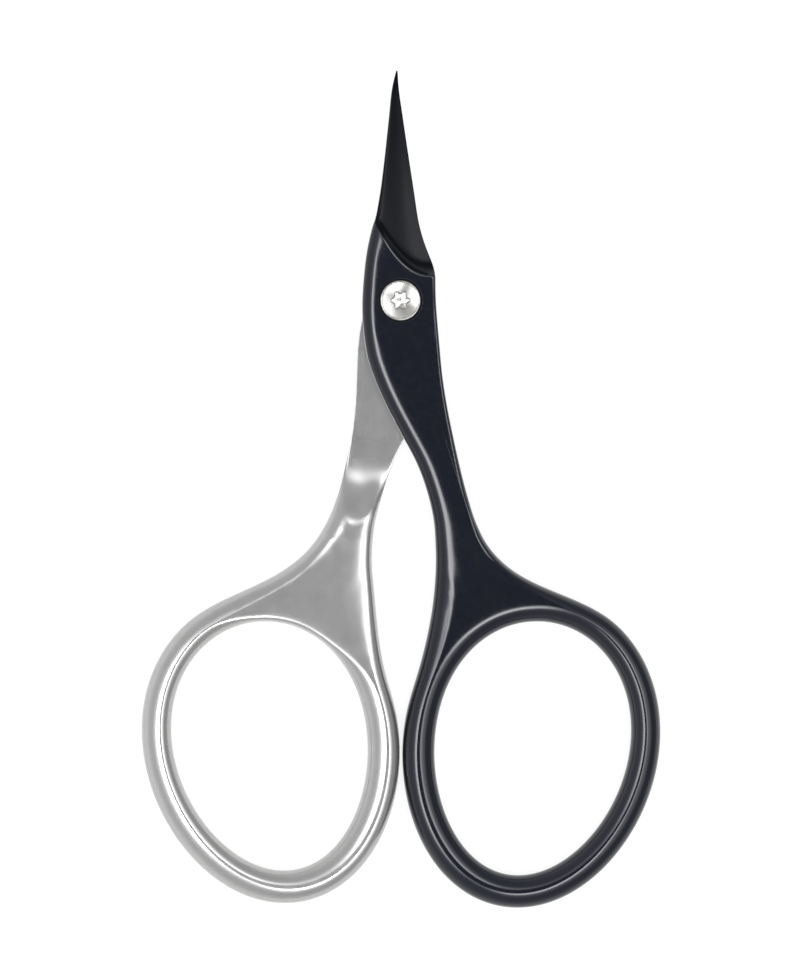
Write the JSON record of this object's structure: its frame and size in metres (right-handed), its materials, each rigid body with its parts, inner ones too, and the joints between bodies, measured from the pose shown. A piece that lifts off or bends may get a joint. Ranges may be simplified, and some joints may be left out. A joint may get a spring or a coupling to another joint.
{
  "type": "cuticle scissors",
  "caption": "Cuticle scissors: two curved slender blades on a shoulder screw, forged halves with large oval finger rings, one satin steel and one black coated.",
  "frame": {"origin": "on the pivot axis, in the flat underside of the rear half that the scissors rest on", "axes": "+Y along the closed blades towards their tips, +Z along the pivot axis up through the screw head, +X towards the black front half's ring"},
  "size_m": [0.056, 0.0902, 0.0044],
  "materials": {
    "black_coating": "satin",
    "satin_steel": "satin",
    "screw_steel": "polished",
    "washer_bronze": "satin"
  },
  "bodies": {
    "rear": {"rear_half": "satin_steel", "pivot_screw": "screw_steel"},
    "front": {"front_half": "black_coating", "friction_washer": "washer_bronze"}
  },
  "joints": [
    {"name": "pivot", "type": "hinge", "parent": "rear", "child": "front", "pos_m": [0, 0, 0.00165], "axis": [0, 0, 1], "range_deg": [0, 130]}
  ]
}
